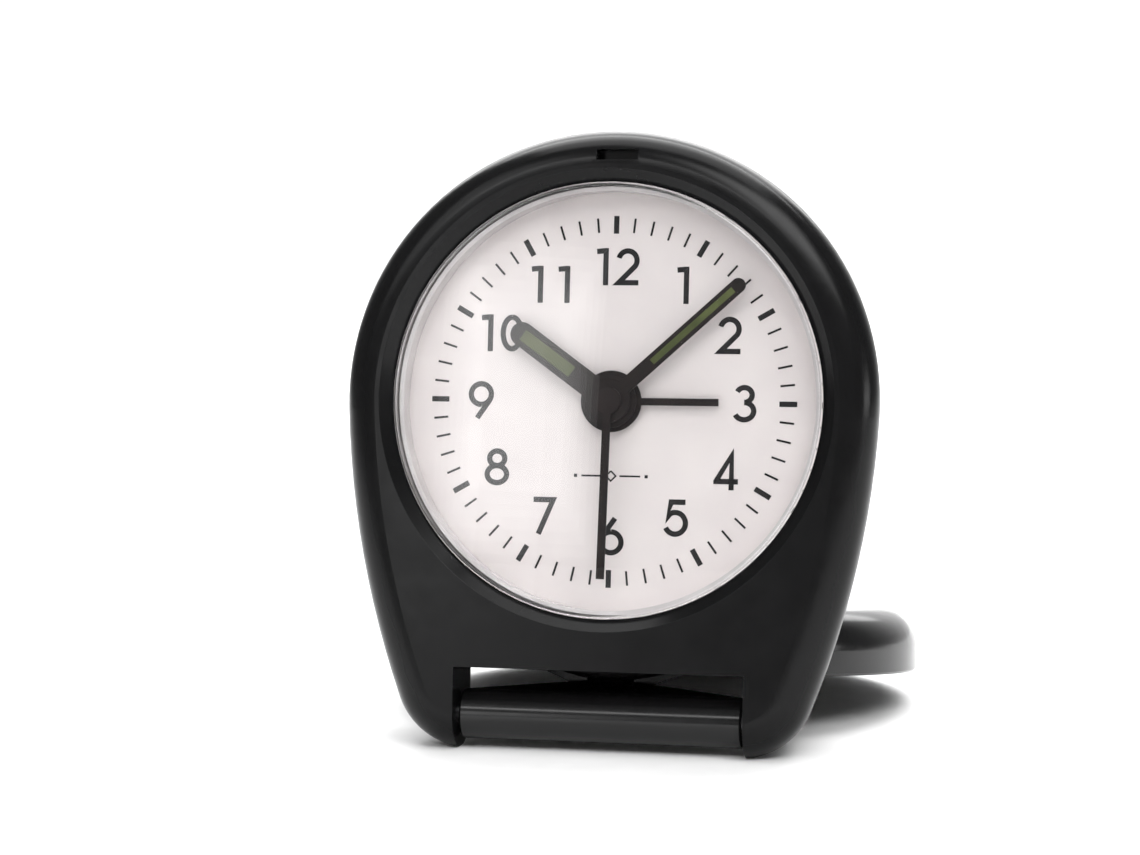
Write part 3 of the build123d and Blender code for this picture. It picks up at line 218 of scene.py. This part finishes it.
skirt_milky = moulded(
    "skirt_milky", (0.56, 0.53, 0.53), (0.68, 0.65, 0.65), (0.12, 0.22), 0.1, 0.5, 0.04
)

NODE_MATERIALS = {
    case_black: ("front_case",),
    cover_black: ("cover",),
    rear_black: ("rear_case", "battery_door"),
    knob_black: ("time_set_knob", "alarm_set_knob"),
    button_grey: ("snooze_button", "alarm_switch"),
    card_white: ("dial",),
    hand_dark: ("hour_hand", "minute_hand", "second_hand", "alarm_hand"),
    luminous: ("hour_hand_inlay", "minute_hand_inlay"),
    acetal: ("movement_plate", "movement_back_plate", "coil_bobbin"),
    gear_cream: (
        "cannon_pinion", "hour_wheel", "alarm_wheel", "minute_wheel", "time_set_arbor",
        "alarm_set_arbor", "third_wheel", "second_wheel", "intermediate_wheel", "rotor_pinion",
    ),
    board_green: ("circuit_board",),
    chip_black: ("control_chip",),
    sleeve_blue: ("battery",),
    steel: (
        "hinge_pins", "case_screws", "movement_screws", "stator", "coil_core", "quartz_can",
        "snooze_contact", "alarm_contact", "battery_plate", "battery_spring",
    ),
    brass: ("centre_wheel", "buzzer"),
    copper: ("coil_winding",),
    magnet: ("rotor_magnet",),
    crystal_clear: ("crystal",),
}
for material, names in NODE_MATERIALS.items():
    for name in names:
        nodes[name].data.materials.clear()
        nodes[name].data.materials.append(material)

# ---------------------------------------------------------------- mesh helpers


def piece(name, mesh, body, material, place=FACE):
    """An object from a bmesh drawn in mm, put in its place and riding on a body."""
    mesh.transform(place)
    bmesh.ops.recalc_face_normals(mesh, faces=mesh.faces)
    data = bpy.data.meshes.new(name)
    mesh.to_mesh(data)
    mesh.free()
    data.materials.append(material)
    thing = bpy.data.objects.new(name, data)
    bpy.context.scene.collection.objects.link(thing)
    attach(thing, body)
    return thing


def prism(mesh, left, right, low, high):
    """A closed strip between two rows of points, from z low to z high."""
    rows = [[mesh.verts.new((*p, z)) for p in side] for side in (left, right) for z in (low, high)]
    left_low, left_high, right_low, right_high = rows
    for i in range(len(left) - 1):
        mesh.faces.new((left_high[i], left_high[i + 1], right_high[i + 1], right_high[i]))
        mesh.faces.new((left_low[i], right_low[i], right_low[i + 1], left_low[i + 1]))
        mesh.faces.new((left_low[i], left_low[i + 1], left_high[i + 1], left_high[i]))
        mesh.faces.new((right_low[i], right_high[i], right_high[i + 1], right_low[i + 1]))
    for i in (0, -1):
        mesh.faces.new((left_low[i], left_high[i], right_high[i], right_low[i]))


def stroke(mesh, points, width, low, high):
    """A pen stroke along a line of points, mitred at its bends."""
    left, right = [], []
    count = len(points)
    for i, point in enumerate(points):
        before = point - points[i - 1] if i else points[1] - point
        after = points[i + 1] - point if i < count - 1 else before
        before, after = before.normalized(), after.normalized()
        normal = Vector((-(before + after).y, (before + after).x)).normalized()
        reach = width / 2 / max(0.35, normal.dot(Vector((-after.y, after.x))))
        left.append(point + normal * reach)
        right.append(point - normal * reach)
    prism(mesh, left, right, low, high)


def arc(centre, radius_x, radius_y, start, end, steps=24):
    """Points of an elliptical arc, angles in degrees anticlockwise from +x."""
    points = []
    for i in range(steps + 1):
        angle = radians(start + (end - start) * i / steps)
        points.append(Vector((centre[0] + radius_x * cos(angle), centre[1] + radius_y * sin(angle))))
    return points


# ---------------------------------------------------------------- printed dial

# How far some numerals stand off their ring, right and up.
NUDGE = {1: (0.3, 0), 3: (-0.2, 0), 5: (-0.1, 0.25), 6: (0.2, 0), 7: (-0.1, 0.2), 11: (0.3, 0)}

# Each numeral is a few strokes in a box one unit high, its x measured from the middle.
UPPER_BOWL = 0.198
LOWER_BOWL = (1 - PEN / NUMERAL_H) / 2 - UPPER_BOWL


def digit_strokes(digit):
    """Centre lines of one geometric sans numeral."""
    half = PEN / NUMERAL_H / 2
    low, high = half, 1 - half
    lines = {
        "0": [arc((0, 0.5), 0.25, 0.5 - half, 90, 450, 40)],
        "1": [[(-0.19, high - 0.02), (0.02, high), (0.06, high), (0.06, 0)]],
        "2": [arc((0, high - 0.26), 0.25, 0.26, 165, -35, 20) + [(-0.24, low), (0.3, low)]],
        "3": [
            arc((-0.01, high - UPPER_BOWL), 0.21, UPPER_BOWL, 155, -90, 20),
            arc((-0.01, low + LOWER_BOWL), 0.26, LOWER_BOWL, 90, -155, 22),
        ],
        "4": [[(0.13, 0), (0.13, high), (-0.28, 0.24), (-0.28, 0.23), (0.31, 0.23)]],
        "5": [
            [(0.26, high), (-0.13, high), (-0.2, 0.54)]
            + arc((-0.01, low + 0.29), 0.28, 0.29, 122, -155, 24)
        ],
        "6": [
            arc((0, low + 0.28), 0.28, 0.28, 90, 450, 32),
            [(-0.25, low + 0.42), (0.1, 1.0)],
        ],
        "7": [[(-0.27, high), (0.27, high), (-0.12, 0)]],
        "8": [
            arc((0, high - UPPER_BOWL), 0.21, UPPER_BOWL, -90, 270, 28),
            arc((0, low + LOWER_BOWL), 0.27, LOWER_BOWL, 90, 450, 32),
        ],
        "9": [
            arc((0, high - 0.28), 0.28, 0.28, -90, 270, 32),
            [(0.25, high - 0.42), (-0.1, 0.0)],
        ],
    }
    return [[Vector(p) for p in line] for line in lines[digit]]


ink_low, ink_high = -DIAL_DEPTH, -DIAL_DEPTH + PRINT_T
for hour in range(1, 13):
    mesh = bmesh.new()
    angle = radians(30 * hour)
    centre = Vector((sin(angle), cos(angle))) * NUMERAL_R + Vector(NUDGE.get(hour, (0, 0)))
    text = str(hour)
    pitch = (0.74 if hour == 11 else 0.66) * NUMERAL_H
    for place, digit in enumerate(text):
        shift = (place - (len(text) - 1) / 2) * pitch
        for line in digit_strokes(digit):
            points = [centre + Vector((shift, 0)) + (p - Vector((0, 0.5))) * NUMERAL_H for p in line]
            stroke(mesh, points, PEN, ink_low, ink_high)
    piece(f"numeral_{hour}", mesh, "case", ink_black)

hour_ticks, minute_ticks = bmesh.new(), bmesh.new()
for minute in range(60):
    angle = radians(6 * minute)
    out = Vector((sin(angle), cos(angle)))
    if minute % 5:
        stroke(minute_ticks, [out * MINUTE_INNER, out * MINUTE_OUTER], FINE_PEN, ink_low, ink_high)
    else:
        stroke(hour_ticks, [out * TICK_INNER, out * TICK_OUTER], PEN, ink_low, ink_high)
piece("hour_ticks", hour_ticks, "case", ink_black)
piece("minute_ticks", minute_ticks, "case", ink_black)

# A plain ornament under the hub: a lozenge between two rules with a dot at each end.
ornament = bmesh.new()
for side in (-1, 1):
    rule = [Vector((side * x, -ORNAMENT_DROP)) for x in (1.1, 3.7)]
    stroke(ornament, rule, 0.22, ink_low, ink_high)
    dot = [Vector((side * x, -ORNAMENT_DROP)) for x in (4.25, 4.65)]
    stroke(ornament, dot, 0.4, ink_low, ink_high)
corners = ((0, 0.62), (0.62, 0), (0, -0.62), (-0.62, 0), (0, 0.62))
lozenge = [Vector((x, y - ORNAMENT_DROP)) for x, y in corners]
stroke(ornament, lozenge, 0.2, ink_low, ink_high)
piece("dial_ornament", ornament, "case", ink_black)

# ---------------------------------------------------------------- crystal


def lathe(name, profile, body, material, steps=256):
    """A ring or disc turned about the dial's axis, its closed profile in (radius, depth)."""
    mesh = bmesh.new()
    turns = [2 * pi * i / steps for i in range(steps)]
    rings = []
    for radius, depth in profile:
        if radius < 1e-6:
            rings.append([mesh.verts.new((0, 0, -depth))])
        else:
            rings.append([
                mesh.verts.new((radius * cos(turn), radius * sin(turn), -depth)) for turn in turns
            ])
    for near, far in zip(rings, rings[1:] + rings[:1]):
        for i in range(steps):
            j = (i + 1) % steps
            corners = [near[i % len(near)], near[j % len(near)], far[j % len(far)], far[i % len(far)]]
            corners = list(dict.fromkeys(corners))
            if len(corners) > 2:
                mesh.faces.new(corners).smooth = True
    thing = piece(name, mesh, body, material)
    thing.data.set_sharp_from_angle(angle=radians(35))
    return thing


def rounded(corner, radius, start, end, steps=6):
    """Profile points round a corner's centre, angles in degrees from outward towards the reader."""
    points = []
    for i in range(steps + 1):
        angle = radians(start + (end - start) * i / steps)
        points.append((corner[0] + radius * cos(angle), corner[1] - radius * sin(angle)))
    return points


window_back = CRYSTAL_FACE + CRYSTAL_T
window = lathe(
    "crystal_window",
    [(0, window_back), (WINDOW_R, window_back)]
    + rounded((WINDOW_R - WINDOW_EDGE, CRYSTAL_FACE + WINDOW_EDGE), WINDOW_EDGE, 0, 90)
    + [(0, CRYSTAL_FACE)],
    "case", crystal_clear,
)
# The skirt stands on the dial; a narrow groove parts its rim from its sloping inner lip.
skirt_foot = DIAL_DEPTH - 0.02
skirt_rim = window_back + 0.05
groove_floor = window_back + 2.2
lathe(
    "crystal_skirt",
    [(SKIRT_R, skirt_foot), (WINDOW_R, skirt_foot), (WINDOW_R, skirt_rim)]
    + [(WINDOW_R - 0.3, skirt_rim), (WINDOW_R - 0.36, groove_floor), (WINDOW_R - 0.5, groove_floor)]
    + [(WINDOW_R - 0.56, window_back + 0.3), (SKIRT_R, window_back + 0.7)],
    "case", skirt_milky,
)
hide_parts("crystal")

# ---------------------------------------------------------------- arrows beside the setting knobs

for side, node in ((1, "time"), (-1, "alarm")):
    low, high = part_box(f"{node}_set_knob")
    knob = FACE.inverted() @ ((low + high) / 2)
    centre = (knob.x, knob.y)
    tail_angle, head_angle, tip_angle = (90 + side * turn for turn in (-38, 30, 42))
    arrow = bmesh.new()
    shank = arc(centre, ARROW_R, ARROW_R, tail_angle, head_angle, 28)
    stroke(arrow, shank, ARROW_PEN, ARROW_LOW, ARROW_HIGH)
    tip = arc(centre, ARROW_R, ARROW_R, tip_angle, tip_angle, 1)[0]
    for radius in (ARROW_R - 0.95, ARROW_R + 0.95):
        barb = arc(centre, radius, radius, head_angle, head_angle, 1)[0]
        stroke(arrow, [barb, tip], ARROW_PEN, ARROW_LOW, ARROW_HIGH)
    piece(f"{node}_set_arrow", arrow, "case", button_grey)

# ---------------------------------------------------------------- floor, light and camera


def sweep(name, half_width, front, back, height, radius):
    """A floor that turns up into a backdrop."""
    mesh = bmesh.new()
    outline = [(front, 0.0), (back - radius, 0.0)]
    outline += [
        (back - radius + radius * sin(pi / 2 * i / 16), radius - radius * cos(pi / 2 * i / 16))
        for i in range(1, 17)
    ]
    outline.append((back, height))
    rows = [[mesh.verts.new((x, y, z)) for y, z in outline] for x in (-half_width, half_width)]
    for i in range(len(outline) - 1):
        face = mesh.faces.new((rows[0][i], rows[1][i], rows[1][i + 1], rows[0][i + 1]))
        face.smooth = True
    data = bpy.data.meshes.new(name)
    mesh.to_mesh(data)
    mesh.free()
    thing = bpy.data.objects.new(name, data)
    bpy.context.scene.collection.objects.link(thing)
    return thing


paper = moulded("paper", (0.88, 0.88, 0.88), (0.92, 0.92, 0.92), (0.85, 0.95), 0.0, 0.2)
floor = sweep("floor", 7.0, -7.0, 2.2, 2.5, 0.7)
floor.data.materials.append(paper)


def lamp(name, place, target, size, power):
    """A rectangular soft light aimed at a point."""
    data = bpy.data.lights.new(name, "AREA")
    data.shape = "RECTANGLE"
    data.size, data.size_y = size
    data.energy = power
    thing = bpy.data.objects.new(name, data)
    thing.location = place
    thing.rotation_euler = (Vector(target) - Vector(place)).to_track_quat("-Z", "Y").to_euler()
    bpy.context.scene.collection.objects.link(thing)


middle = face_point(0, 0, 5)  # where the lamps and the camera point
PANEL_GAP = 0.004  # metres between the panels of one soft light


def around(azimuth, elevation, distance):
    """A place round the clock, azimuth in degrees to the right of straight ahead."""
    turn, lift = radians(azimuth), radians(elevation)
    return middle + distance * Vector((sin(turn) * cos(lift), -cos(turn) * cos(lift), sin(lift)))


def softbox(name, azimuth, elevation, distance, size, power, feather, layers=6):
    """A soft light that fades towards its edges: panels of falling size, one before another."""
    scales = [1 - feather * i / layers for i in range(layers)]
    sizes = [(size[0] * scale, size[1] * scale) for scale in scales]
    area = sum(width * height for width, height in sizes)
    for i, (width, height) in enumerate(sizes):
        place = around(azimuth, elevation, distance - PANEL_GAP * i)
        lamp(f"{name}_{i}", place, middle, (width, height), power * width * height / area)


softbox("key", 34, 46, 1.0, (0.9, 0.6), 6.6, 0.6)
softbox("window_glare", -17, 8.5, 1.12, (0.19, 0.36), 0.46, 0.5)
softbox("left_softbox", -42, 34, 1.1, (0.6, 0.6), 1.7, 0.3)
softbox("front_strip", -12, 32, 1.1, (0.9, 0.14), 1.6, 0.5)
lamp("overhead", around(180, 82, 1.2), middle, (1.2, 0.9), 10)
lamp("top_back", around(188, 50, 1.1), middle, (1.2, 1.2), 13)
lamp("right_low", around(85, 5, 0.8), middle, (0.3, 0.1), 0.5)
lamp("backdrop_wash", (0.0, 0.9, 1.6), (0.0, 2.0, 0.3), (2.2, 0.6), 34)

world = bpy.data.worlds.new("studio")
world.use_nodes = True
world.node_tree.nodes["Background"].inputs["Color"].default_value = (1, 1, 1, 1)
world.node_tree.nodes["Background"].inputs["Strength"].default_value = 0.16
bpy.context.scene.world = world
bpy.context.scene.view_settings.view_transform = "Standard"

AZIMUTH = radians(12.3)  # the camera stands this far round to the right
ELEVATION = radians(4.66)
DISTANCE = 0.384
FOCAL = 97.7
ASIDE, BELOW = 0.00513, 0.00325  # the clock sits right of and above the middle of the frame

camera_data = bpy.data.cameras.new("camera")
camera_data.lens = FOCAL
camera_data.sensor_width = 36.0
camera = bpy.data.objects.new("camera", camera_data)
forward = Vector((-sin(AZIMUTH) * cos(ELEVATION), cos(AZIMUTH) * cos(ELEVATION), -sin(ELEVATION)))
right = forward.cross(Vector((0, 0, 1))).normalized()
up = right.cross(forward)
stand = middle - DISTANCE * forward - ASIDE * right - BELOW * up
camera.matrix_world = Matrix.Translation(stand) @ Matrix((
    (right.x, up.x, -forward.x, 0),
    (right.y, up.y, -forward.y, 0),
    (right.z, up.z, -forward.z, 0),
    (0, 0, 0, 1),
))
bpy.context.scene.collection.objects.link(camera)
bpy.context.scene.camera = camera
